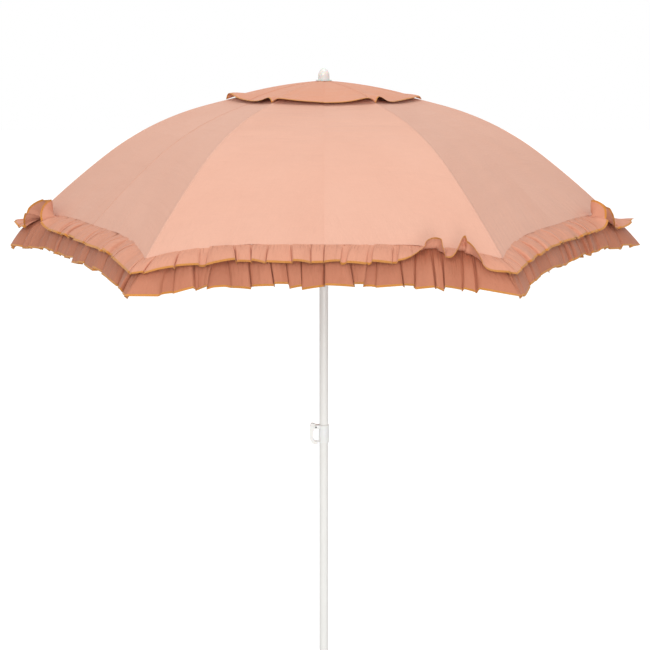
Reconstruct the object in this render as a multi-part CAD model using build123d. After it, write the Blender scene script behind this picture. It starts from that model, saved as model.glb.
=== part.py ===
from build123d import *
import math
import os

# Garden parasol: white two-part pole, six bowed ribs, fabric canopy with a vent cap and a two-tier frill.
# Millimetres. The origin is the centre of the lower tube's bottom end, and +Z is up.

# ---- driving dimensions ----
RIBS = 6                      # ribs and gores
HALF_GORE = 180 / RIBS        # degrees from a rib to the middle of a gore

tube_od = 25.0                # both pole tubes
tube_id = 23.0
lower_tube_length = 950.0
spigot_od = 22.9              # swaged end of the upper tube, running in the lower tube
spigot_length = 300.0
spike_length = 90.0
spike_plug_length = 40.0

collar_height = 52.0
collar_od = 29.6
neck_od = 24.4                # lower tube under the collar
pin_radius = 1.5              # lever pivot
pin_x = -22.6
pin_below_top = 5.6           # pivot below the collar's top edge
ear_radius = 5.5              # collar's two ears round the pivot
ear_thickness = 3.6
pad_half = 3.4                # pressure pad, half its height and width
lever_thickness = 9.4
lever_reach = 41.0            # from the pole's axis to the lever's outer edge
lever_top = 6.0               # lever above the collar's top edge
lever_foot = 5.0              # lever below the collar's bottom edge
cam_radius = 6.2
cam_offset = 0.8

pivot_height = 1917.0         # plane of the rib pivots
pivot_radius = 24.0           # rib and strut pivots from the pole's axis
hub_od = 56.0
hub_below = 9.0               # hub below and above the plane of the pivots
hub_above = 7.0
ring_wire_radius = 1.0
slot_width = 5.0

rib_radius = 2.0
rib_stations = [(24.0, 8.5), (330.0, 15.0), (600.0, 37.0), (810.0, 43.5)]  # (radius from the axis, slope)
bracket_radius = 400.0        # where the strut's bracket sits on the rib, from the pole's axis
strut_pivot_below = 7.0       # strut pivot under the rib's centre line
strut_radius = 2.5
strut_slot_width = 5.6
runner_open_drop = 335.0      # runner pivots below rib pivots when open
runner_crown_half = 7.0
runner_sleeve_length = 50.0
runner_bore_gap = 0.1
rivet_radius = 1.5
strut_eye_thickness = 3.2
strut_pin_radius = 1.5        # cross pin at the strut's lower end
strut_pin_half = 5.0
catch_travel = 4.0            # how far the catch's nose stands out of the upper tube

cloth = 0.6                   # canopy cloth
cloth_above_rib = 4.2         # underside of the cloth over the rib's centre line
vent_radius = 150.0           # canopy's inner edge, at a rib
rim_radius = 812.0            # canopy's outer edge, at a rib
rim_pull = 27.0               # how far the rim pulls in at the middle of a gore
cap_radius = 268.0
cap_slopes = (4.0, 17.0)
cap_start = (10.0, 9.0)       # cap's inner edge: radius, height over the plane of the pivots
frill_cloth = 1.0
frill_slope = 50.0            # degrees below level
frill_lengths = (60.0, 112.0) # upper tier and lower tier
frill_gap = 5.0               # between the tiers
frill_lift = 2.0              # lower tier over the canopy's cloth

finial_radius = 15.5
finial_straight = 11.0
finial_shoulder_curve = 24.0
washer_radius = 22.0
washer_thickness = 2.4
seam_gap = 0.15               # each side of a plane between two cloth pieces
clearance = 0.3               # between pieces that move past each other

os.makedirs("parts", exist_ok=True)
collar_top = lower_tube_length
collar_bottom = collar_top - collar_height
pin_z = collar_top - pin_below_top
runner_z = pivot_height - runner_open_drop


def save(solid, node):
    solid.label = node
    export_step(solid, f"parts/{node}.step")


def tube(radius_out, radius_in, z_low, z_high):
    ring = Circle(radius_out) - Circle(radius_in)
    return extrude(Plane.XY.offset(z_low) * ring, z_high - z_low)


def rod(radius, z_low, z_high):
    return extrude(Plane.XY.offset(z_low) * Circle(radius), z_high - z_low)


def block(x, y, z):
    # A box from three (low, high) spans.
    size = [high - low for low, high in (x, y, z)]
    centre = [(high + low) / 2 for low, high in (x, y, z)]
    return Pos(*centre) * Box(*size)


def cross_rod(radius, x, z, half_width):
    # A rod along Y, centred on y = 0.
    return Pos(x, 0, z) * Rot(90, 0, 0) * Cylinder(radius, 2 * half_width)


def on_side(solid, index):
    # Turns a piece from the first rib, which lies along +X, to rib number index.
    return Rot(0, 0, index * 2 * HALF_GORE) * solid


# ---- pole ----
def ground_spike():
    plug = rod(tube_id / 2, 0, spike_plug_length)
    shoulder = rod(tube_od / 2, -6, 0)
    point = Pos(0, 0, -6 - (spike_length - 6) / 2) * Rot(180, 0, 0) * Cone(tube_od / 2, 2.0, spike_length - 6)
    return plug + shoulder + point


def pad_window():
    # The hole in the lower tube and in the collar that the pressure pad slides in.
    half = pad_half + 0.1
    return block((-collar_od / 2 - 1, -5), (-half, half), (pin_z - half, pin_z + half))


def lower_tube():
    wall = tube(tube_od / 2, tube_id / 2, 0, collar_bottom)
    neck = tube(neck_od / 2, tube_id / 2, collar_bottom, collar_top - 2)
    return wall + neck - pad_window()


def clamp_collar():
    sleeve = tube(collar_od / 2, neck_od / 2, collar_bottom, collar_top - 2)
    lip = tube(collar_od / 2, tube_id / 2, collar_top - 2, collar_top)
    body = chamfer((sleeve + lip).edges().filter_by(GeomType.CIRCLE).group_by(Axis.Z)[0][-1:], 0.8)
    ear_low = lever_thickness / 2 + clearance
    ear_heights = (pin_z - ear_radius, pin_z + ear_radius)
    ear_plate = block((pin_x, -collar_od / 2 + 4), (ear_low, ear_low + ear_thickness), ear_heights)
    ear_middle = Pos(pin_x, ear_low + ear_thickness / 2, pin_z)
    ear_round = ear_middle * Rot(90, 0, 0) * Cylinder(ear_radius, ear_thickness)
    ear = ear_plate + ear_round - rod(neck_od / 2 + 1, collar_bottom, collar_top)
    ears = ear + mirror(ear, about=Plane.XZ)
    return body + ears - cross_rod(pin_radius, pin_x, pin_z, 12) - pad_window()


def clamp_pin():
    half = lever_thickness / 2 + clearance + ear_thickness
    head = Pos(pin_x, -half - 0.5, pin_z) * Rot(90, 0, 0) * Cylinder(2.4, 1.0)
    return cross_rod(pin_radius, pin_x, pin_z, half) + head


def clamp_pad():
    inner = -spigot_od / 2 - 0.1
    outer = pin_x + cam_offset + cam_radius + 0.05
    return block((outer, inner), (-pad_half, pad_half), (pin_z - pad_half, pin_z + pad_half))


def cam_lever():
    # D-shaped loop: the cam end round the pivot, an outer arm, and a foot that comes back to the collar.
    top = collar_top + lever_top
    foot = collar_bottom - lever_foot
    outer = -lever_reach
    inner = -collar_od / 2 - 0.5
    with BuildSketch(Plane.XZ) as profile:
        with BuildLine():
            Polyline((pin_x, pin_z + 6), (pin_x - 6, pin_z + 9), (outer + 5, top), (outer, top - 12),
                     (outer, foot + 14), (outer + 9, foot), (inner, foot), (inner, foot + 8),
                     (outer + 15, foot + 8), (outer + 10, foot + 16), (outer + 10, pin_z - 17),
                     (pin_x - 3, pin_z - 5), (pin_x, pin_z), close=True)
        make_face()
        outer_corners = profile.vertices().filter_by(lambda v: v.X < outer + 12)
        fillet(outer_corners, 4)
    loop = extrude(profile.sketch, lever_thickness / 2, both=True)
    cam = cross_rod(cam_radius, pin_x + cam_offset, pin_z, lever_thickness / 2)
    return loop + cam - cross_rod(pin_radius + 0.08, pin_x, pin_z, 12)


def upper_tube():
    wall = tube(tube_od / 2, tube_id / 2, collar_top + clearance, pivot_height + 1)
    step = tube(tube_od / 2, spigot_od / 2 - 1, collar_top + clearance, collar_top + 4)
    spigot = tube(spigot_od / 2, spigot_od / 2 - 1, collar_top - spigot_length, collar_top + 4)
    slot = block((tube_id / 2 - 2, tube_od / 2 + 2), (-1.8, 1.8), (catch_top - 34, catch_top + 0.5))
    return wall + step + spigot - slot


# ---- crown hub and top ----
def crown_hub():
    body = rod(hub_od / 2, pivot_height - hub_below, pivot_height + hub_above)
    body = chamfer(body.edges().filter_by(GeomType.CIRCLE), 1.2)
    skirt = rod(17.5, pivot_height - 30, pivot_height - hub_below)
    body += skirt
    body -= rod(tube_od / 2, pivot_height - 31, pivot_height + 1)
    body -= rod(5, pivot_height, pivot_height + hub_above + 1)
    body -= tube(hub_od, pivot_radius - ring_wire_radius, pivot_height - 1.05, pivot_height + 1.05)
    slot = block((18.5, hub_od), (-slot_width / 2, slot_width / 2), (pivot_height - 32, pivot_height + 4))
    for index in range(RIBS):
        body -= on_side(slot, index)
    return body


def rib_ring():
    return Pos(0, 0, pivot_height) * Torus(pivot_radius, ring_wire_radius)


def washer_bottom():
    return pivot_height + cap_start[1] + cloth + 0.4


def cap_washer():
    low = washer_bottom()
    disc = tube(washer_radius, 5, low, low + washer_thickness)
    return fillet(disc.edges().filter_by(GeomType.CIRCLE).group_by(Axis.Z)[-1][-1:], 0.8)


def finial():
    low = washer_bottom() + washer_thickness
    shoulder = (finial_radius, low + finial_straight)
    turned = finial_radius - finial_shoulder_curve * (1 - math.cos(math.radians(45)))
    nose_curve = turned / math.sin(math.radians(45))
    with BuildSketch(Plane.XZ) as profile:
        with BuildLine():
            Polyline((0, low), (finial_radius, low), shoulder)
            side = JernArc(shoulder, (0, 1), finial_shoulder_curve, 45)
            nose = JernArc(side @ 1, side % 1, nose_curve, 45)
            Line(nose @ 1, (0, low))
        make_face()
    knob = revolve(profile.sketch, Axis.Z)
    stud = rod(5, pivot_height + 1, low)
    return knob + stud


# ---- ribs and struts, made for a rib along +X ----
def rib_curve(near, slope_near, far, slope_far):
    # Radius of the rib's arc between two stations.
    return (far - near) / (math.sin(math.radians(slope_far)) - math.sin(math.radians(slope_near)))


def rib_arcs(offset=0.0):
    # The rib's centre line as tangent arcs, or a line at an offset above it. X is out and Y is up.
    near, slope = rib_stations[0]
    angle = math.radians(slope)
    point = (near + offset * math.sin(angle), pivot_height + offset * math.cos(angle))
    arcs = []
    for (near, slope_near), (far, slope_far) in zip(rib_stations, rib_stations[1:]):
        radius = rib_curve(near, slope_near, far, slope_far) + offset
        tangent = (math.cos(math.radians(slope_near)), -math.sin(math.radians(slope_near)))
        arc = JernArc(start=point, tangent=tangent, radius=radius, arc_size=slope_near - slope_far)
        end = arc @ 1
        point = (end.X, end.Y)
        arcs.append(arc)
    return arcs


def fall(radius_at):
    # How far the rib's centre line has fallen at a distance from the pole's axis, and its slope there.
    fallen = 0.0
    for (near, slope_near), (far, slope_far) in zip(rib_stations, rib_stations[1:]):
        radius = rib_curve(near, slope_near, far, slope_far)
        low = math.radians(slope_near)
        high = math.asin(math.sin(low) + (min(radius_at, far) - near) / radius)
        fallen += radius * (math.cos(low) - math.cos(high))
        if radius_at <= far:
            break
    return fallen + max(radius_at - far, 0) * math.tan(high), math.degrees(high)


bracket_fall, bracket_slope = fall(bracket_radius)
strut_pivot_x = bracket_radius - strut_pivot_below * math.sin(math.radians(bracket_slope))
strut_pivot_z = pivot_height - bracket_fall - strut_pivot_below * math.cos(math.radians(bracket_slope))


def rib_bracket():
    # Two cheeks under the rib with the strut's end between them. The rib runs along X here.
    inside = strut_eye_thickness / 2 + clearance
    cheek = block((-5, 5), (inside, inside + 1.2), (-strut_pivot_below, 0))
    cheek += Pos(0, inside + 0.6, -strut_pivot_below) * Rot(90, 0, 0) * Cylinder(5, 1.2)
    saddle = block((-5, 5), (-inside - 1.2, inside + 1.2), (-2.4, 2.4))
    bracket = saddle + cheek + mirror(cheek, about=Plane.XZ)
    return bracket - cross_rod(rivet_radius, 0, -strut_pivot_below, 6)


def rib():
    path = Plane.XZ * Wire(rib_arcs())
    wire = sweep(Plane(origin=path @ 0, z_dir=path % 0) * Circle(rib_radius), path=path)
    eye = cross_rod(3.5, pivot_radius, pivot_height, 1.8)
    hole = cross_rod(ring_wire_radius + 0.12, pivot_radius, pivot_height, 4)
    place = Pos(bracket_radius, 0, pivot_height - bracket_fall) * Rot(0, bracket_slope, 0)
    return wire + eye + place * rib_bracket() - hole


def rib_tip():
    # A plastic sleeve with a ball end, which slips over the rib's end.
    sleeve = Pos(-4.5, 0, 0) * Rot(0, 90, 0) * Cylinder(3.0, 15)
    ball = Pos(3, 0, 0) * Sphere(3.4)
    bore = Pos(-7.8, 0, 0) * Rot(0, 90, 0) * Cylinder(rib_radius + 0.05, 16)
    end_radius, end_slope = rib_stations[-1]
    place = Pos(end_radius, 0, pivot_height - fall(end_radius)[0]) * Rot(0, end_slope, 0)
    return place * (sleeve + ball - bore)


def strut():
    # Along X from the eye in the rib's bracket to the cross pin in the runner, then turned to its place.
    run = strut_pivot_x - pivot_radius
    rise = strut_pivot_z - runner_z
    length = math.hypot(run, rise)
    eye = Rot(90, 0, 0) * Cylinder(4, strut_eye_thickness)
    neck = block((0, 14), (-strut_eye_thickness / 2, strut_eye_thickness / 2), (-2.5, 2.5))
    shaft = Pos((length + 12) / 2, 0, 0) * Rot(0, 90, 0) * Cylinder(strut_radius, length - 12)
    end = Pos(length, 0, 0) * Sphere(strut_radius)
    pin = cross_rod(strut_pin_radius, length, 0, strut_pin_half)
    hole = cross_rod(rivet_radius + 0.08, 0, 0, 4)
    place = Pos(strut_pivot_x, 0, strut_pivot_z) * Rot(0, 180 - math.degrees(math.atan2(rise, run)), 0)
    return place * (eye + neck + shaft + end + pin - hole)


def strut_rivet():
    half = strut_eye_thickness / 2 + clearance + 1.2
    body = cross_rod(rivet_radius, strut_pivot_x, strut_pivot_z, half)
    head = Pos(strut_pivot_x, half + 0.4, strut_pivot_z) * Rot(90, 0, 0) * Cylinder(2.6, 0.8)
    return body + head + mirror(head, about=Plane.XZ)


# ---- runner ----
def runner():
    half = runner_crown_half
    bottom = runner_z - half - runner_sleeve_length
    crown = chamfer(rod(hub_od / 2, runner_z - half, runner_z + half).edges().filter_by(GeomType.CIRCLE), 1.2)
    sleeve = rod(17, bottom, runner_z - half)
    grip = fillet(rod(20, bottom, bottom + 8).edges().filter_by(GeomType.CIRCLE), 2)
    body = crown + sleeve + grip
    body -= rod(tube_od / 2 + runner_bore_gap, bottom - 1, runner_z + half + 1)
    slot = block((20.5, hub_od), (-strut_slot_width / 2, strut_slot_width / 2),
                 (runner_z - half - 1, runner_z + half + 1))
    pin_reach = strut_pin_half + clearance
    seat = cross_rod(strut_pin_radius + 0.2, pivot_radius, runner_z, pin_reach)
    way_out = block((pivot_radius - strut_pin_radius - 0.2, hub_od), (-pin_reach, pin_reach),
                    (runner_z - half - 1, runner_z))
    cut = slot + seat + way_out
    for index in range(RIBS):
        body -= on_side(cut, index)
    return body


catch_top = runner_z - runner_crown_half - runner_sleeve_length - 0.5


def catch_spring():
    # A steel leaf in the upper tube with a nose that stands out under the runner.
    nose_reach = tube_od / 2 + catch_travel
    with BuildSketch(Plane.XZ) as profile:
        with BuildLine():
            Polyline((8.8, catch_top), (nose_reach, catch_top), (nose_reach, catch_top - 5),
                     (tube_od / 2, catch_top - 26), (8.8, catch_top - 30), close=True)
        make_face()
    nose = extrude(profile.sketch, 1.5, both=True)
    leaf = block((8.0, 9.0), (-1.5, 1.5), (catch_top - 60, catch_top + 12))
    return nose + leaf


# ---- cloth, made on the +Y side of a rib along +X ----
def gore_point(radius, pull=0.0):
    # The point of the gore's middle line straight across from a rib's point, in plan.
    across = radius * math.cos(math.radians(HALF_GORE)) - pull
    return (across * math.cos(math.radians(HALF_GORE)), across * math.sin(math.radians(HALF_GORE)))


def plan_wedge(inner, outer, pull, gap):
    # Everything between a rib's plane and the middle of the gore, from the inner edge to the rim.
    side = (gap * math.sin(math.radians(HALF_GORE)), -gap * math.cos(math.radians(HALF_GORE)))
    inner_middle = gore_point(inner)
    outer_middle = gore_point(outer, pull)
    corners = [(inner, gap), (outer, gap),
               (outer_middle[0] + side[0], outer_middle[1] + side[1]),
               (inner_middle[0] + side[0], inner_middle[1] + side[1])]
    outline = make_face(Polyline(*corners, close=True))
    return extrude(Plane.XY.offset(pivot_height - 600) * outline, 800)


def across_gore(strip):
    # A strip standing in the rib's plane, drawn level to the middle of the gore.
    direction = (-math.sin(math.radians(HALF_GORE)), math.cos(math.radians(HALF_GORE)), 0)
    return extrude(strip, rim_radius * 0.52, dir=direction)


def canopy_half():
    under = rib_arcs(cloth_above_rib)
    over = rib_arcs(cloth_above_rib + cloth)
    slope = math.radians(rib_stations[-1][1])
    past = (12 * math.cos(slope), -12 * math.sin(slope))
    under_end = under[-1] @ 1
    over_end = over[-1] @ 1
    under_past = (under_end.X + past[0], under_end.Y + past[1])
    over_past = (over_end.X + past[0], over_end.Y + past[1])
    edge = Polyline((under_end.X, under_end.Y), under_past, over_past, (over_end.X, over_end.Y))
    start = Line(under[0] @ 0, over[0] @ 0)
    strip = Plane.XZ * make_face([*under, *edge.edges(), *over, start])
    return across_gore(strip) & plan_wedge(vent_radius, rim_radius, rim_pull, seam_gap)


def vent_cap():
    near, height = cap_start
    radius = rib_curve(near, cap_slopes[0], cap_radius, cap_slopes[1])
    tangent = (math.cos(math.radians(cap_slopes[0])), -math.sin(math.radians(cap_slopes[0])))
    sweep_angle = cap_slopes[0] - cap_slopes[1]
    under = JernArc(start=(near, pivot_height + height), tangent=tangent, radius=radius, arc_size=sweep_angle)
    over = Pos(0, cloth) * under
    near_side = Line(under @ 0, over @ 0)
    far_side = Line(under @ 1, over @ 1)
    strip = Plane.XZ * make_face([under, far_side, over, near_side])
    half = across_gore(strip) & plan_wedge(near, cap_radius, 0, 0)
    gore = half + mirror(half, about=Plane.XZ)
    cap = on_side(gore, 0)
    for index in range(1, RIBS):
        cap += on_side(gore, index)
    return cap - rod(cap_start[0], pivot_height, pivot_height + 30)


def frill_tier(length, lift):
    # One tier on one side of the rib: a strip that hangs outwards and down from the rim.
    slope = math.radians(frill_slope)
    half = math.radians(HALF_GORE)
    out = Vector(math.cos(half) * math.cos(slope), math.sin(half) * math.cos(slope), -math.sin(slope))
    middle = gore_point(rim_radius, rim_pull)
    middle_radius = math.hypot(*middle) / math.cos(half)
    cloth_lift = cloth_above_rib + lift
    corner_z = pivot_height - fall(rim_radius)[0] + cloth_lift
    middle_z = pivot_height - fall(middle_radius)[0] + cloth_lift
    rim_corner = Vector(rim_radius, 0, corner_z) + out * 1.2
    rim_middle = Vector(middle[0], middle[1], middle_z) + out * 1.2
    along = (rim_middle - rim_corner).normalized()
    start = rim_corner - along * length * 0.6
    end = rim_middle + along * 10
    outline = Polyline(start, end, end + out * length, start + out * length, close=True)
    strip = extrude(make_face(outline), frill_cloth)
    side = 2 * rim_radius
    keep = plan_wedge(vent_radius, side, 0, seam_gap)
    return strip & keep


def frill():
    lower = frill_tier(frill_lengths[1], frill_lift)
    upper = frill_tier(frill_lengths[0], frill_lift + frill_gap)
    tiers = [lower, upper, mirror(lower, about=Plane.XZ), mirror(upper, about=Plane.XZ)]
    return Compound([solid for tier in tiers for solid in tier.solids()])


single_pieces = {
    "ground_spike": ground_spike, "lower_tube": lower_tube, "clamp_collar": clamp_collar,
    "clamp_pin": clamp_pin, "clamp_pad": clamp_pad, "cam_lever": cam_lever, "upper_tube": upper_tube,
    "crown_hub": crown_hub, "rib_ring": rib_ring, "cap_washer": cap_washer, "finial": finial,
    "vent_cap": vent_cap, "runner": runner, "catch_spring": catch_spring,
}
for node, make in single_pieces.items():
    save(make(), node)

right_half = canopy_half()
repeated_pieces = {
    "rib": rib(), "rib_tip": rib_tip(), "strut": strut(), "strut_rivet": strut_rivet(), "frill": frill(),
    "canopy_right": right_half, "canopy_left": mirror(right_half, about=Plane.XZ),
}
for node, solid in repeated_pieces.items():
    for index in range(RIBS):
        save(on_side(solid, index), f"{node}_{index + 1}")
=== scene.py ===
import math
import random

import bmesh
import bpy
from mathutils import Matrix, Vector


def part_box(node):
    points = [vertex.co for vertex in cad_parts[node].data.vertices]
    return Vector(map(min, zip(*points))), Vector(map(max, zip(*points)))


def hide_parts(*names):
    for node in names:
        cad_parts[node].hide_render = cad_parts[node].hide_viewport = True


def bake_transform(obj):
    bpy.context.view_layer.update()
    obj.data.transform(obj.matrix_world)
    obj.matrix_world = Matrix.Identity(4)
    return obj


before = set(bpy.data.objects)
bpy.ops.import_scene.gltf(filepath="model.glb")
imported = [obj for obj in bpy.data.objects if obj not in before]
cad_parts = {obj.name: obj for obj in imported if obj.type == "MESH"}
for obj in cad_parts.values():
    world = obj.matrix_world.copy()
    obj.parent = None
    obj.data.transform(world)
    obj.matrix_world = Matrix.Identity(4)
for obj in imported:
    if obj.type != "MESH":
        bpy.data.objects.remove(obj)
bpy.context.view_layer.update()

# ---- Pole tubes ----
# Two steel tubes, welded lengthwise, phosphated and powder coated white. The upper one has a swaged
# foot that slides in the lower one. The coat is satin with a fine orange peel, and it is scuffed
# where hands and the ground touch it.
POLE_SCRATCH_SCALE = 90.0


def shader_of(material):
    return material.node_tree.nodes["Principled BSDF"]


def new_material(name, base_color, roughness, metallic=0.0):
    """A material with one Principled shader, and the constant values on its own sockets."""
    material = bpy.data.materials.new(name)
    material.use_nodes = True
    shader = shader_of(material)
    shader.inputs["Base Color"].default_value = (*base_color, 1)
    shader.inputs["Roughness"].default_value = roughness
    shader.inputs["Metallic"].default_value = metallic
    return material, material.node_tree, shader


def new_group(name, inputs, outputs):
    """A shader node group. Inputs are (name, type, default) and outputs are (name, type)."""
    group = bpy.data.node_groups.new(name, "ShaderNodeTree")
    for socket, kind, default in inputs:
        made = group.interface.new_socket(socket, in_out="INPUT", socket_type="NodeSocket" + kind)
        if default is not None:
            made.default_value = default
    for socket, kind in outputs:
        group.interface.new_socket(socket, in_out="OUTPUT", socket_type="NodeSocket" + kind)
    return group, group.nodes.new("NodeGroupInput"), group.nodes.new("NodeGroupOutput")


def math_node(tree, operation, first, second=0.0, third=0.0):
    """A Math node. Each operand is a number or an output socket. Returns its value."""
    node = tree.nodes.new("ShaderNodeMath")
    node.operation = operation
    for slot_index, operand in enumerate((first, second, third)):
        if isinstance(operand, (int, float)):
            node.inputs[slot_index].default_value = operand
        else:
            tree.links.new(operand, node.inputs[slot_index])
    return node.outputs[0]


def noise_node(tree, vector, scale, detail=3.0, stretch=(1, 1, 1)):
    """Noise over a vector, stretched by a Mapping node. Returns its value."""
    mapping = tree.nodes.new("ShaderNodeMapping")
    mapping.inputs["Scale"].default_value = stretch
    noise = tree.nodes.new("ShaderNodeTexNoise")
    noise.inputs["Detail"].default_value = detail
    tree.links.new(vector, mapping.inputs["Vector"])
    tree.links.new(mapping.outputs["Vector"], noise.inputs["Vector"])
    if isinstance(scale, (int, float)):
        noise.inputs["Scale"].default_value = scale
    else:
        tree.links.new(scale, noise.inputs["Scale"])
    return noise.outputs["Fac"]


def blend_colour(tree, amount, first, second, way="MIX"):
    """Mixes two colours. Each is a tuple or a socket. Returns the mixed colour."""
    mix = tree.nodes.new("ShaderNodeMix")
    mix.data_type = "RGBA"
    mix.blend_type = way
    for socket, value in ((mix.inputs[6], first), (mix.inputs[7], second)):
        if isinstance(value, tuple):
            socket.default_value = (*value, 1)
        else:
            tree.links.new(value, socket)
    if isinstance(amount, (int, float)):
        mix.inputs[0].default_value = amount
    else:
        tree.links.new(amount, mix.inputs[0])
    return mix.outputs[2]


def bump_node(tree, height, strength, distance, under=None):
    """A Bump node over a height, on top of another normal if one is given. Returns its normal."""
    bump = tree.nodes.new("ShaderNodeBump")
    if under is not None:
        tree.links.new(under, bump.inputs["Normal"])
    bump.inputs["Strength"].default_value = strength
    bump.inputs["Distance"].default_value = distance
    tree.links.new(height, bump.inputs["Height"])
    return bump.outputs["Normal"]


def object_coordinates(tree):
    return tree.nodes.new("ShaderNodeTexCoord").outputs["Object"]


def use_group(tree, group, links=(), values=()):
    """Places a node group, with its inputs linked to sockets or set to numbers."""
    node = tree.nodes.new("ShaderNodeGroup")
    node.node_tree = group
    for name, socket in links:
        tree.links.new(socket, node.inputs[name])
    for name, value in values:
        node.inputs[name].default_value = value
    return node.outputs


# Handling marks that all hard parts share: broad grime in the hollows of a noise, and fine scuffs.
handling, gin, gout = new_group("handling_marks", [("Vector", "Vector", None), ("Grime", "Float", 3.0),
                                                   ("Scuff", "Float", 60.0)],
                                [("Grime Mask", "Float"), ("Scuff Mask", "Float"), ("Height", "Float")])
grime = noise_node(handling, gin.outputs["Vector"], gin.outputs["Grime"], 4)
scuff = noise_node(handling, gin.outputs["Vector"], gin.outputs["Scuff"], 5, (1, 1, 0.12))
peel = noise_node(handling, gin.outputs["Vector"], 900.0, 1)
over_threshold = math_node(handling, "SUBTRACT", grime, 0.52)
soft_edge = math_node(handling, "SMOOTH_MAX", over_threshold, 0.0, 0.05)
handling.links.new(soft_edge, gout.inputs["Grime Mask"])
handling.links.new(math_node(handling, "GREATER_THAN", scuff, 0.66), gout.inputs["Scuff Mask"])
handling.links.new(peel, gout.inputs["Height"])


def hard_finish(name, base_color, grime_color, roughness, metallic=0.0, grime=4.0, scuff=60.0,
                peel=0.00004):
    """A hard finish with grime in its colour, scuffs in its gloss and a fine texture in its normal."""
    material, tree, shader = new_material(name, base_color, roughness, metallic)
    marks = use_group(tree, handling, [("Vector", object_coordinates(tree))],
                      [("Grime", grime), ("Scuff", scuff)])
    colour = blend_colour(tree, marks["Grime Mask"], base_color, grime_color)
    tree.links.new(colour, shader.inputs["Base Color"])
    gloss = math_node(tree, "MULTIPLY_ADD", marks["Scuff Mask"], 0.18, roughness)
    tree.links.new(gloss, shader.inputs["Roughness"])
    tree.links.new(bump_node(tree, marks["Height"], 0.5, peel), shader.inputs["Normal"])
    return material


def finish_node(material, *nodes):
    """Gives CAD nodes a material in place of their plain one."""
    for node in nodes:
        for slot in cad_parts[node].material_slots:
            slot.material = material


white_coat = hard_finish("white_powder_coat", (0.86, 0.86, 0.83), (0.70, 0.68, 0.62), 0.34,
                         scuff=POLE_SCRATCH_SCALE)
shader_of(white_coat).inputs["Coat Weight"].default_value = 0.25
finish_node(white_coat, "lower_tube", "upper_tube")

# ---- Ground spike, clamp collar and lever ----
# Injection moulded polypropylene in white. The spike is pressed into the tube's foot, and the collar
# is pressed over its top. The lever turns on a blackened steel pin, and its cam pushes a rubber pad
# through the collar against the inner tube.
white_moulding = hard_finish("white_moulding", (0.88, 0.88, 0.86), (0.76, 0.74, 0.68), 0.42, scuff=40.0,
                             peel=0.00008)
shader_of(white_moulding).inputs["Subsurface Weight"].default_value = 0.05
finish_node(white_moulding, "ground_spike", "clamp_collar", "cam_lever", "crown_hub", "runner",
            *[f"rib_tip_{k}" for k in range(1, 7)])
black_pin = hard_finish("blackened_steel", (0.05, 0.05, 0.055), (0.12, 0.09, 0.07), 0.38, 0.9)
finish_node(black_pin, "clamp_pin")
pad_rubber = hard_finish("pad_rubber", (0.03, 0.03, 0.03), (0.09, 0.085, 0.08), 0.75)
finish_node(pad_rubber, "clamp_pad")

# ---- Frame under the canopy ----
# Zinc plated spring steel wire: six ribs threaded on a ring in the crown hub, six struts riveted into
# their brackets, and the leaf that catches the runner. Zinc is grey and slightly blue, with dull spots.
zinc = hard_finish("zinc_plated_wire", (0.62, 0.63, 0.64), (0.40, 0.40, 0.41), 0.33, 1.0, grime=30.0,
                   scuff=220.0)
finish_node(zinc, "rib_ring", "catch_spring",
            *[f"{name}_{k}" for name in ("rib", "strut", "strut_rivet") for k in range(1, 7)])

# ---- Finial and washer ----
# A milky moulded knob with a flange washer under it, screwed through the vent cap into the hub.
# Light goes a little way into the plastic.
milky = hard_finish("milky_moulding", (0.74, 0.73, 0.69), (0.64, 0.62, 0.57), 0.24, grime=20.0)
shader_of(milky).inputs["Subsurface Weight"].default_value = 0.25
shader_of(milky).inputs["Coat Weight"].default_value = 0.4
finish_node(milky, "finial", "cap_washer")

# ---- Canopy ----
# Six gores of plain woven peach cotton, sewn along the ribs with a felled seam and two rows of
# stitching. Each gore is taut between two ribs and pulled up at the rim. It is made as two half
# gores, because each half folds between its rib and the middle of the gore.
MM = 0.001
RIBS = 6
HALF = math.pi / RIBS
CLOTH = 0.6 * MM
CLOTH_OVER_RIB = 4.8 * MM
RIB_STATIONS = ((24 * MM, 8.5), (330 * MM, 15.0), (600 * MM, 37.0), (810 * MM, 43.5))
RIM_RADIUS = 812 * MM
RIM_PULL = 27 * MM
VENT_RADIUS = 150 * MM
GORE_SAG = 9 * MM
GORE_LENGTH = 620 * MM
RIPPLE = 1.6 * MM
RIPPLE_WAVES = (14, 9)
SEAM_LEDGE = ((0.0, 0.9), (3.4, 0.9), (4.2, 0.1), (6.0, 0.0))
GORE_ROWS = 44
ring_low, ring_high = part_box("rib_ring")
PIVOT_HEIGHT = (ring_low.z + ring_high.z) / 2


def rib_fall(radius):
    """How far the rib's centre line has fallen at a radius, along its three tangent arcs."""
    fallen = 0.0
    for (near, slope_near), (far, slope_far) in zip(RIB_STATIONS, RIB_STATIONS[1:]):
        low = math.sin(math.radians(slope_near))
        bend = (far - near) / (math.sin(math.radians(slope_far)) - low)
        high = math.asin(min(1, low + (min(radius, far) - near) / bend))
        fallen += bend * (math.cos(math.asin(low)) - math.cos(high))
        if radius <= far:
            return fallen
    return fallen + (radius - far) * math.tan(high)


def gore_height(radius, angle):
    """Height of the taut cloth. Straight across the gore, it is as high as the rib is."""
    at_rib = radius * math.cos(HALF - angle) / math.cos(HALF)
    return PIVOT_HEIGHT - rib_fall(at_rib) + CLOTH_OVER_RIB


def rim_pull(share):
    """How far the rim is pulled in, for a share of the way from the gore's middle to its rib."""
    return RIM_PULL * (1 - share ** 4)


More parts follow.
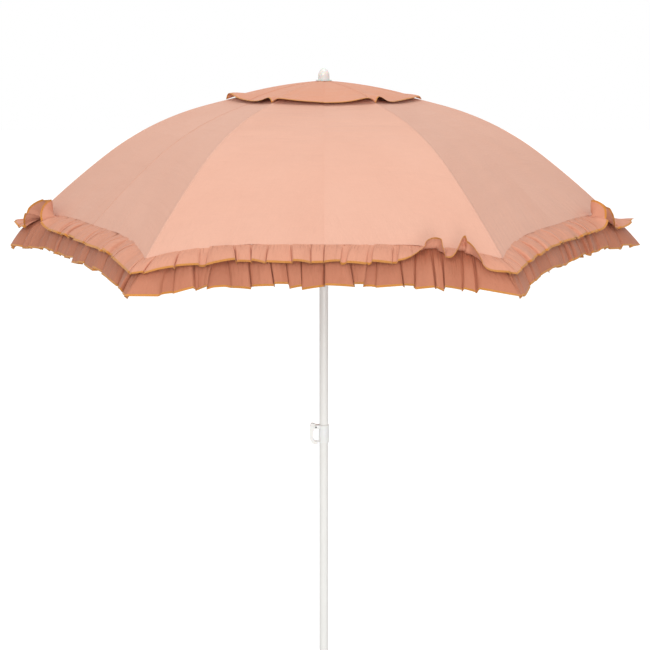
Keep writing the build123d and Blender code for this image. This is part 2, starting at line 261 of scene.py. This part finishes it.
def finish_cloth(name, mesh_maker, materials):
    """Makes the piece, gives the sheet its thickness under its face, and sets its materials."""
    for border in mesh_maker.edges:
        border.smooth = not border.is_boundary
    mesh = bpy.data.meshes.new(name)
    mesh_maker.to_mesh(mesh)
    mesh_maker.free()
    piece = bpy.data.objects.new(name, mesh)
    bpy.context.scene.collection.objects.link(piece)
    for material in materials:
        mesh.materials.append(material)
    solid = piece.modifiers.new("cloth thickness", "SOLIDIFY")
    solid.thickness = CLOTH
    solid.offset = -1
    solid.use_even_offset = False
    return piece


def cloth_grid(name, columns, rows, place, materials, hem=0.0):
    """A grid of cloth. place(u, v) gives a point and its place on the flat cloth, in metres.

    Faces within the hem's width of the last row take the second material."""
    mesh_maker = bmesh.new()
    bmesh.ops.create_grid(mesh_maker, x_segments=columns, y_segments=rows, size=0.5)
    flat = {}
    edge = {}
    for vertex in mesh_maker.verts:
        u, v = vertex.co.x + 0.5, vertex.co.y + 0.5
        point, flat[vertex], edge[vertex] = place(u, v)
        vertex.co = point
    uv = mesh_maker.loops.layers.uv.new("cloth")
    for face in mesh_maker.faces:
        face.smooth = True
        face.material_index = int(max(edge[vertex] for vertex in face.verts) < hem * 1.01)
        for loop in face.loops:
            loop[uv].uv = flat[loop.vert]
    if sum(face.normal.z for face in mesh_maker.faces) < 0:
        bmesh.ops.reverse_faces(mesh_maker, faces=mesh_maker.faces)
    return finish_cloth(name, mesh_maker, materials)


# Plain weave: warp and weft threads over and under each other, with thicker slubs here and there.
weave, gin, gout = new_group("plain_weave",
                             [("Cloth Place", "Vector", None), ("Thread", "Float", 0.0005)],
                             [("Height", "Float"), ("Slub", "Float"), ("Cloud", "Float")])
apart = weave.nodes.new("ShaderNodeSeparateXYZ")
weave.links.new(gin.outputs["Cloth Place"], apart.inputs[0])
turns = math_node(weave, "DIVIDE", math.pi, gin.outputs["Thread"])
warp = math_node(weave, "SINE", math_node(weave, "MULTIPLY", apart.outputs[0], turns))
weft = math_node(weave, "SINE", math_node(weave, "MULTIPLY", apart.outputs[1], turns))
weave.links.new(math_node(weave, "MULTIPLY", warp, weft), gout.inputs["Height"])
slub_across = noise_node(weave, gin.outputs["Cloth Place"], 40.0, 4, (1, 30, 1))
slub_along = noise_node(weave, gin.outputs["Cloth Place"], 40.0, 4, (30, 1, 1))
weave.links.new(math_node(weave, "MULTIPLY", math_node(weave, "ADD", slub_across, slub_along), 0.5),
                gout.inputs["Slub"])
weave.links.new(noise_node(weave, gin.outputs["Cloth Place"], 5.0, 3), gout.inputs["Cloud"])


# Two rows of lockstitch on either side of a seam: short raised threads with dips between them.
stitches, gin, gout = new_group("stitch_rows",
                                [("Cloth Place", "Vector", None), ("Off Seam", "Float", 0.0024),
                                 ("Stitch", "Float", 0.0028)], [("Thread", "Float")])
apart = stitches.nodes.new("ShaderNodeSeparateXYZ")
stitches.links.new(gin.outputs["Cloth Place"], apart.inputs[0])
off_row = math_node(stitches, "SUBTRACT", math_node(stitches, "ABSOLUTE", apart.outputs[0]),
                    gin.outputs["Off Seam"])
on_row = math_node(stitches, "LESS_THAN", math_node(stitches, "ABSOLUTE", off_row), 0.00035)
turns = math_node(stitches, "DIVIDE", 2 * math.pi, gin.outputs["Stitch"])
dash = math_node(stitches, "SINE", math_node(stitches, "MULTIPLY", apart.outputs[1], turns))
shown = math_node(stitches, "GREATER_THAN", dash, -0.4)
stitches.links.new(math_node(stitches, "MULTIPLY", on_row, shown), gout.inputs["Thread"])

# Fine creases that a gathering thread or a tight edge pulls into the cloth, over part of its length.
creases, gin, gout = new_group("gather_creases",
                               [("Cloth Place", "Vector", None), ("Growth", "Float", 10.0),
                                ("Start", "Float", 1.0)], [("Height", "Float")])
apart = creases.nodes.new("ShaderNodeSeparateXYZ")
creases.links.new(gin.outputs["Cloth Place"], apart.inputs[0])
fade = math_node(creases, "MULTIPLY_ADD", apart.outputs[1], gin.outputs["Growth"], gin.outputs["Start"])
fade = math_node(creases, "MINIMUM", math_node(creases, "MAXIMUM", fade, 0.0), 1.0)
ripple = noise_node(creases, gin.outputs["Cloth Place"], 11.0, 2, (7, 0.8, 1))
creases.links.new(math_node(creases, "MULTIPLY", ripple, fade), gout.inputs["Height"])


def cotton(name, base_color, shade_color, wrinkle, gathers, stitched=True):
    """Plain woven cotton. wrinkle is a scale, a stretch and a depth, and gathers is where the gather
    creases grow along the flat cloth, and their depth."""
    material, tree, shader = new_material(name, base_color, 0.62)
    shader.inputs["Sheen Weight"].default_value = 0.08
    shader.inputs["Sheen Roughness"].default_value = 0.45
    shader.inputs["Sheen Tint"].default_value = (1.0, 0.86, 0.78, 1)
    shader.inputs["Specular IOR Level"].default_value = 0.4
    place = tree.nodes.new("ShaderNodeUVMap")
    place.uv_map = "cloth"
    flat = place.outputs["UV"]
    woven = use_group(tree, weave, [("Cloth Place", flat)])
    colour = blend_colour(tree, woven["Cloud"], base_color, shade_color)
    threads = math_node(tree, "MULTIPLY_ADD", woven["Slub"], 0.7, 0.65)
    colour = blend_colour(tree, 0.3, colour, threads, "MULTIPLY")
    wrinkle_scale, wrinkle_stretch, wrinkle_depth = wrinkle
    wrinkles = noise_node(tree, flat, wrinkle_scale, 3, wrinkle_stretch)
    normal = bump_node(tree, wrinkles, 1.0, wrinkle_depth)
    growth, start, crease_depth = gathers
    gathered = use_group(tree, creases, [("Cloth Place", flat)],
                         [("Growth", growth), ("Start", start)])
    normal = bump_node(tree, gathered["Height"], 1.0, crease_depth, normal)
    height = math_node(tree, "MULTIPLY_ADD", woven["Height"], 0.4, woven["Slub"])
    normal = bump_node(tree, height, 0.6, 0.00025, normal)
    if stitched:
        thread = use_group(tree, stitches, [("Cloth Place", flat)])["Thread"]
        colour = blend_colour(tree, thread, colour, (0.80, 0.52, 0.40))
        normal = bump_node(tree, thread, 1.0, 0.0004, normal)
    tree.links.new(colour, shader.inputs["Base Color"])
    tree.links.new(normal, shader.inputs["Normal"])
    return material


def gore_columns():
    """Shares across a half gore: narrow columns for the seam's ledge, then even ones."""
    return len(SEAM_LEDGE) - 1, 22


def place_in_gore(u, v, side, turn, phase):
    """A point of a half gore, from the rib (u 0) to the middle, and from the vent (v 0) to the rim."""
    ledge_columns, open_columns = gore_columns()
    step = u * (ledge_columns + open_columns)
    share_in_open = max(0.0, (step - ledge_columns) / open_columns)
    ledge = min(step, ledge_columns)
    index = min(int(ledge + 1e-6), ledge_columns - 1)
    part = ledge - index
    off_rib = (SEAM_LEDGE[index][0] * (1 - part) + SEAM_LEDGE[index + 1][0] * part) * MM
    ridge = (SEAM_LEDGE[index][1] * (1 - part) + SEAM_LEDGE[index + 1][1] * part) * MM
    vent_across = VENT_RADIUS * math.cos(HALF)
    angle = HALF * share_in_open
    radius = 0.5
    for _ in range(4):
        start = math.asin(off_rib / radius)
        angle = start + (HALF - start) * share_in_open
        rim_share = math.tan(HALF - angle) / math.tan(HALF)
        rim_across = RIM_RADIUS * math.cos(HALF) - rim_pull(rim_share)
        radius = (vent_across + (rim_across - vent_across) * v) / math.cos(HALF - angle)
    middle = angle / HALF
    tension = math.sin(math.pi * v) * (1 - (1 - middle) ** 2)
    height = gore_height(radius, angle) + ridge - GORE_SAG * tension
    waves = RIPPLE_WAVES[0] * middle + RIPPLE_WAVES[1] * v + phase
    height += RIPPLE * v * math.sin(math.pi * middle) ** 2 * math.sin(waves)
    point = Vector((radius * math.cos(angle), side * radius * math.sin(angle), height))
    return turn @ point, (side * radius * math.sin(angle), (v - 1) * GORE_LENGTH), 1.0


# The canopy's copy of the cotton is the cloth's own peach, made paler and less saturated than the cap's
# and frill's copies as a painted sheen from the front lamp.
canopy_cotton_painted_sheen = cotton("canopy_cotton_painted_sheen", (0.715, 0.405, 0.30), (0.665, 0.35, 0.25),
                       (2.2, (1, 9, 1), 0.0055), (9.0, 1.0, 0.003))


def overlock(name, base_color, painted_crest_highlight):
    """Ochre thread laid over a cut edge in close slanting loops."""
    material, tree, shader = new_material(name, base_color, 0.6)
    shader.inputs["Sheen Weight"].default_value = 0.2
    place = tree.nodes.new("ShaderNodeUVMap")
    place.uv_map = "cloth"
    apart = tree.nodes.new("ShaderNodeSeparateXYZ")
    tree.links.new(place.outputs["UV"], apart.inputs[0])
    slanted = math_node(tree, "MULTIPLY_ADD", apart.outputs[1], 0.7, apart.outputs[0])
    loops = math_node(tree, "SINE", math_node(tree, "MULTIPLY", slanted, 2 * math.pi / 0.0016))
    # The crests of the loops are painted paler than the ochre in the dips between them: a painted
    # highlight that follows the same wave as the bump.
    amount = math_node(tree, "MULTIPLY_ADD", loops, 0.35, 0.4)
    tree.links.new(blend_colour(tree, amount, base_color, painted_crest_highlight), shader.inputs["Base Color"])
    tree.links.new(bump_node(tree, loops, 0.8, 0.0003), shader.inputs["Normal"])
    return material


hem_thread = overlock("ochre_overlock", (0.60, 0.22, 0.022), (0.72, 0.30, 0.045))


def fold_with_gore(piece):
    """Bakes the piece's placement into its mesh."""
    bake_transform(piece)


SIDES = (("right", 1), ("left", -1))
for rib in range(1, RIBS + 1):
    turn = Matrix.Rotation((rib - 1) * 2 * HALF, 3, "Z")
    for side_name, side in SIDES:
        phase = random.Random(rib * side).uniform(0, 2 * math.pi)
        piece = cloth_grid(f"canopy_gore_{rib}_{side_name}", sum(gore_columns()), GORE_ROWS,
                           lambda u, v: place_in_gore(u, v, side, turn, phase),
                           (canopy_cotton_painted_sheen, hem_thread))
        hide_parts(f"canopy_{side_name}_{rib}")
        fold_with_gore(piece)

# ---- Frill ----
# Two tiers of the same cotton, each over half as long again as the rim, gathered on a thread and sewn
# under the canopy's edge with the shorter tier on top. Pressed folds leave flat faces with narrow
# dark valleys between them, and the edges are overlocked in ochre.
RIM_HALF = RIM_RADIUS * math.sin(HALF)
LOWER_LENGTH = 106 * MM
# lift and stand move a tier's hem outwards, depth is the least and greatest depth of its folds, and
# under is how far below the canopy's cloth its seam lies.
TIERS = {"lower": dict(length=LOWER_LENGTH, lift=-5 * MM, stand=0.0, depth=(6 * MM, 12 * MM),
                       under=2.4 * MM),
         "upper": dict(length=59 * MM, lift=2 * MM, stand=11 * MM, depth=(5 * MM, 10 * MM),
                       under=1.2 * MM)}
WEAVE_FULLNESS = 1.9
SEAM_INSET = 2 * MM
FRILL_ROWS = 13
FACE_COLUMNS = 10
FLANK_COLUMNS = 4
RECESSES = (8 * MM, 19 * MM)
FACES = (26 * MM, 60 * MM)
LEAST_LAST_FOLD = 15 * MM
FLANK = 5.5 * MM
OVERHANG = 4.2 * MM
HEM_WIDTH = 4.8 * MM
# Where the upper tier is turned up, by rib: the distance along the rim from the rib (minus on its left
# side), the width along the rim, how far it turns (1 is a half turn) and how soon after the seam.
FLIPS = {4: ((122 * MM, 42 * MM, 0.70, 2.4), (-6 * MM, 26 * MM, 0.22, 1.0)),
         6: ((-166 * MM, 34 * MM, 0.53, 1.3), (-88 * MM, 20 * MM, 0.60, 1.35)),
         1: ((-150 * MM, 24 * MM, 0.72, 1.9), (0 * MM, 24 * MM, 0.22, 1.2)),
         3: ((-210 * MM, 30 * MM, 0.70, 1.5),),
         2: ((130 * MM, 26 * MM, 0.66, 1.6),)}
# Degrees that a tier falls at its seam and at its hem, the hem's slope over a rib, and how far along
# the rim a rib changes it.
SEAM_SLOPE = 42
HEM_SLOPE = 70
CORNER_SLOPE = 52
CORNER_SLOPES = {4: 62, 1: 48}
CORNER_REACH = 55 * MM
SLOPE_STEPS = 10


def smooth(value):
    value = min(1.0, max(0.0, value))
    return value * value * (3 - 2 * value)


def fold_list(source):
    """Folds from a rib to the middle of the gore: start, width, depth share, length share, slant of the
    hem, tilt and bend of the face, and the lean of its two sides. A face lies over the rib, and a
    valley lies at the middle. Some valleys are wide enough to have a flat bottom of their own."""
    widths = [source.uniform(*FACES) / 2]
    while sum(widths) < RIM_HALF - LEAST_LAST_FOLD:
        recess = widths[-1] > RECESSES[1] and len(widths) > 1 and source.random() < 0.5
        widths.append(source.uniform(*(RECESSES if recess else FACES)))
    scale = RIM_HALF / sum(widths)
    folds = []
    start = lean = 0.0
    for index, width in enumerate(widths):
        last = index == len(widths) - 1
        recess = width < RECESSES[1] and index > 0
        next_lean = 0.0 if last else source.uniform(-0.2, 0.2)
        uneven = (source.random(), source.uniform(-0.045, 0.045), source.uniform(-0.05, 0.05),
                  source.uniform(-8, 8) * MM, source.uniform(-1.5, 5.5) * MM)
        if index == 0:
            uneven = (0.5, 0.0, 0.0, 0.0, 0.0)
        elif recess:
            uneven = (-0.9, uneven[1], 0.0, 0.0, 0.0)
        folds.append((start, width * scale, *uneven, lean, next_lean))
        start += width * scale
        lean = next_lean
    return folds


def place_in_fold(step, width, first):
    """Distance from a fold's start for a share of its columns, closer together on its two flanks. Also
    the share of the fold that lies before it, and how far it is raised from the valley to the face."""
    flank_share = FLANK_COLUMNS / (FACE_COLUMNS + 2 * FLANK_COLUMNS)
    whole = 2 * width if first else width
    flank = min(FLANK, 0.3 * whole)
    step = 0.5 + step / 2 if first else step
    if step < flank_share:
        distance = flank * step / flank_share
    elif step > 1 - flank_share:
        distance = whole - flank * (1 - step) / flank_share
    else:
        distance = flank + (whole - 2 * flank) * (step - flank_share) / (1 - 2 * flank_share)
    raised = smooth(distance / flank) * smooth((whole - distance) / flank)
    return distance - whole / 2 if first else distance, distance / whole, raised


def place_in_frill(u, v, side, turn, tier, folds, flips, corner_slope):
    """A point of a frill tier. u runs from the rib to the gore's middle, v from the seam to the hem."""
    step = u * len(folds)
    index = min(int(step + 1e-6), len(folds) - 1)
    start, width, depth_share, longer, slant, tilt, bend, lean, next_lean = folds[index]
    off_start, before, raised = place_in_fold(step - index, width, index == 0)
    off_middle = 2 * before - 1
    hem_share = HEM_WIDTH / tier["length"]
    row = v * FRILL_ROWS
    last_row = row > FRILL_ROWS - 0.5
    v = 1.0 if last_row else row / (FRILL_ROWS - 1) * (1 - hem_share)
    gathered = 0.5 * smooth(v * 2.2) + 0.5 * v
    length = tier["length"] * (1 + raised * (longer + slant * off_middle))
    across_fold = off_start / width
    along = start + off_start + (lean * (1 - across_fold) + next_lean * across_fold) * length * v
    if depth_share > 0:
        along += OVERHANG * off_middle * raised * gathered
    along = max(0.0, along) if start == 0.0 else along
    share = 1 - along / RIM_HALF
    across = RIM_RADIUS * math.cos(HALF) - rim_pull(min(1.0, max(0.0, share))) - SEAM_INSET
    corner = math.exp(-along / CORNER_REACH)
    slope_start = math.radians(SEAM_SLOPE)
    slope_end = math.radians(HEM_SLOPE + (corner_slope - HEM_SLOPE) * corner)
    turns = [(amount * math.exp(-((start + off_start - side * at) / wide) ** 2), soon)
             for at, wide, amount, soon in flips]
    reach = drop = 0.0
    for slope_step in range(SLOPE_STEPS):
        at = v * (slope_step + 0.5) / SLOPE_STEPS
        slope = slope_start + (slope_end - slope_start) * smooth(at * length / LOWER_LENGTH)
        slope -= sum(amount * math.pi * smooth(at * soon) for amount, soon in turns)
        reach += math.cos(slope) * length * v / SLOPE_STEPS
        drop += math.sin(slope) * length * v / SLOPE_STEPS
    depth = tier["depth"][0] * (1 - depth_share) + tier["depth"][1] * depth_share
    bulge = tier["lift"] * v + tier["stand"] * smooth(v) + depth * raised * (0.10 + 0.90 * gathered)
    bulge += (tilt * off_middle + bend * (1 - off_middle ** 2)) * raised * gathered
    reach += bulge * math.sin(slope)
    drop -= bulge * math.cos(slope)
    gore_out = Vector((math.cos(HALF), math.sin(HALF), 0))
    gore_along = Vector((math.sin(HALF), -math.cos(HALF), 0))
    out = (gore_out * (1 - corner) + Vector((1, 0, 0)) * corner).normalized()
    height = PIVOT_HEIGHT - rib_fall(across / math.cos(HALF)) + CLOTH_OVER_RIB - CLOTH - tier["under"]
    seam = gore_out * across + gore_along * RIM_HALF * share
    point = seam + out * reach + Vector((0, 0, height - drop))
    point.y = side * max(0.0, point.y)
    to_edge = tier["length"] * (1 - v)
    return turn @ point, (side * (start + off_start) * WEAVE_FULLNESS, to_edge), to_edge


# Both tiers are the canopy's cotton in darker, more saturated copies as painted shade: the upper tier a
# little darker, and the lower tier much darker in both its colours.
FRILL_SHADED_COTTONS = {
    "lower": cotton("lower_frill_cotton_painted_shade", (0.55, 0.215, 0.125), (0.43, 0.14, 0.07),
                    (7.0, (4, 1.5, 1), 0.008), (18.0, -0.4, 0.008), stitched=False),
    "upper": cotton("upper_frill_cotton_painted_shade", (0.69, 0.32, 0.21), (0.59, 0.25, 0.155),
                    (7.0, (4, 1.5, 1), 0.008), (18.0, -0.2, 0.008), stitched=False)}
for tier_index, (tier_name, tier) in enumerate(TIERS.items()):
    for rib in range(1, RIBS + 1):
        turn = Matrix.Rotation((rib - 1) * 2 * HALF, 3, "Z")
        for side_name, side in SIDES:
            folds = fold_list(random.Random(100 * tier_index + 10 * rib + side))
            flips = FLIPS.get(rib, ()) if tier_name == "upper" else ()
            columns = len(folds) * (FACE_COLUMNS + 2 * FLANK_COLUMNS)
            piece = cloth_grid(f"frill_{tier_name}_{rib}_{side_name}", columns, FRILL_ROWS,
                               lambda u, v: place_in_frill(u, v, side, turn, tier, folds, flips,
                                                           CORNER_SLOPES.get(rib, CORNER_SLOPE)),
                               (FRILL_SHADED_COTTONS[tier_name], hem_thread), hem=HEM_WIDTH)
            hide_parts(f"frill_{rib}")
            fold_with_gore(piece)

# ---- Vent cap ----
# A small second canopy of six gores over the vent, held in the middle by the finial's washer and
# loose round its ochre overlocked edge, which lies a little over the main canopy.
CAP_RADIUS = 268 * MM
CAP_HOLE = 10 * MM
CAP_SLOPES = (4.0, 17.0)
CAP_HEIGHT = 9.6 * MM
CAP_ROWS = 40
# How far the loose edge stands up beside a rib, and how far along the edge it does so.
CAP_CURL = 9 * MM
CAP_CURLS = {4: 17 * MM, 1: 10 * MM, 5: 12 * MM, 6: 12 * MM}
CURL_WIDTH = 20 * MM
EDGE_DROOP = 1.5 * MM
CAP_LUMP = 3.5 * MM
LOOSE_FROM = 0.72


def cap_fall(radius):
    low = math.sin(math.radians(CAP_SLOPES[0]))
    bend = (CAP_RADIUS - CAP_HOLE) / (math.sin(math.radians(CAP_SLOPES[1])) - low)
    return bend * (math.cos(math.asin(low)) - math.cos(math.asin(low + (radius - CAP_HOLE) / bend)))


def cap_curl(off_rib, reach):
    """How far the loose edge stands up at a distance along it from the rib, where it makes a V."""
    at = off_rib / CURL_WIDTH
    return reach * at * math.exp(1 - at)


def place_in_cap(u, v, side, turn, reach, lump):
    """A point of a half gore of the cap, from the rib (u 0) to the middle, and from the hole (v 0)."""
    last_row = v > 1 - 0.5 / CAP_ROWS
    v = 1.0 if last_row else v * CAP_ROWS / (CAP_ROWS - 1) * (1 - HEM_WIDTH / CAP_RADIUS)
    angle = HALF * (0.35 * u + 0.65 * u * u)
    hole_across = CAP_HOLE * math.cos(HALF)
    across = hole_across + (CAP_RADIUS * math.cos(HALF) - hole_across) * v
    radius = across / math.cos(HALF - angle)
    loose = smooth((v - LOOSE_FROM) / (1 - LOOSE_FROM)) ** 1.5
    height = PIVOT_HEIGHT + CAP_HEIGHT - cap_fall(across / math.cos(HALF))
    off_rib = across * (math.tan(HALF) - math.tan(HALF - angle))
    height += loose * (cap_curl(off_rib, reach) - EDGE_DROOP)
    height += lump * math.sin(2 * math.pi * u) * smooth(v * 1.5)
    point = Vector((radius * math.cos(angle), side * radius * math.sin(angle), height))
    to_edge = CAP_RADIUS * math.cos(HALF) - across
    return turn @ point, (side * radius * math.sin(angle), radius), to_edge


# The cap's copy of the cotton is more saturated than the canopy's, whose copy is the one painted paler
# as sheen.
cap_cotton = cotton("cap_cotton", (0.71, 0.335, 0.215), (0.64, 0.27, 0.16),
                    (5.0, (1, 6, 1), 0.004), (8.0, -0.9, 0.002))
for rib in range(1, RIBS + 1):
    turn = Matrix.Rotation((rib - 1) * 2 * HALF, 3, "Z")
    for side_name, side in SIDES:
        lump = random.Random(40 + rib * side).uniform(-CAP_LUMP, CAP_LUMP)
        curl = CAP_CURLS.get(rib, CAP_CURL)
        piece = cloth_grid(f"vent_cap_gore_{rib}_{side_name}", 28, CAP_ROWS,
                           lambda u, v: place_in_cap(u, v, side, turn, curl, lump),
                           (cap_cotton, hem_thread), hem=HEM_WIDTH)
        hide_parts("vent_cap")
        fold_with_gore(piece)

# ---- Studio ----
# A plain pale floor under the spike, soft daylight-white light all round, a broad lamp in front and
# above on the left, and the camera.
FLOOR_GLOW = 0.62
AIR_LIGHT = 0.80
bpy.ops.mesh.primitive_plane_add(size=60, location=(0, 0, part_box("ground_spike")[0].z))
floor = bpy.context.object
floor.name = "studio_floor"
floor_paper, floor_tree, floor_shader = new_material("studio_paper", (0.6, 0.6, 0.6), 0.95)
floor_shader.inputs["Emission Color"].default_value = (1, 1, 1, 1)
seen_by_camera = floor_tree.nodes.new("ShaderNodeLightPath").outputs["Is Camera Ray"]
floor_tree.links.new(math_node(floor_tree, "MULTIPLY", FLOOR_GLOW, seen_by_camera),
                     floor_shader.inputs["Emission Strength"])
floor.data.materials.append(floor_paper)

world = bpy.data.worlds.new("studio_air")
world.use_nodes = True
air = world.node_tree
backdrop = air.nodes["Background"]
backdrop.inputs["Color"].default_value = (1, 1, 1, 1)
backdrop.inputs["Strength"].default_value = AIR_LIGHT
seen = air.nodes.new("ShaderNodeBackground")
seen.inputs["Strength"].default_value = 1.0
seen.inputs["Color"].default_value = (1, 1, 1, 1)
mixed = air.nodes.new("ShaderNodeMixShader")
air.links.new(air.nodes.new("ShaderNodeLightPath").outputs["Is Camera Ray"], mixed.inputs[0])
air.links.new(backdrop.outputs[0], mixed.inputs[1])
air.links.new(seen.outputs[0], mixed.inputs[2])
air.links.new(mixed.outputs[0], air.nodes["World Output"].inputs["Surface"])
bpy.context.scene.world = world
bpy.context.scene.view_settings.view_transform = "Standard"


def soft_lamp(name, place, target, size, power):
    lamp = bpy.data.lights.new(name, "AREA")
    lamp.size = size
    lamp.energy = power
    holder = bpy.data.objects.new(name, lamp)
    holder.location = place
    holder.rotation_euler = (Vector(target) - Vector(place)).to_track_quat("-Z", "Y").to_euler()
    bpy.context.scene.collection.objects.link(holder)


soft_lamp("front_softbox", (-0.8, -5.0, 3.6), (0, 0, 1.5), 1.8, 58)
soft_lamp("top_softbox", (-0.2, -0.6, 5.2), (0, 0, 1.7), 1.6, 34)
soft_lamp("low_softbox", (0.6, -5.0, 0.7), (0, 0, 0.9), 1.6, 60)

CAMERA_DISTANCE = 3.65
CAMERA_HEIGHT = 2.02
CAMERA_DOWN = 12.0
CAMERA_LENS = 72.7
camera_data = bpy.data.cameras.new("camera")
camera_data.sensor_width = 36
camera_data.lens = CAMERA_LENS
camera_data.shift_x = 0.0018
camera = bpy.data.objects.new("camera", camera_data)
camera.location = (0, -CAMERA_DISTANCE, CAMERA_HEIGHT)
camera.rotation_euler = (math.radians(90 - CAMERA_DOWN), 0, 0)
bpy.context.scene.collection.objects.link(camera)
bpy.context.scene.camera = camera
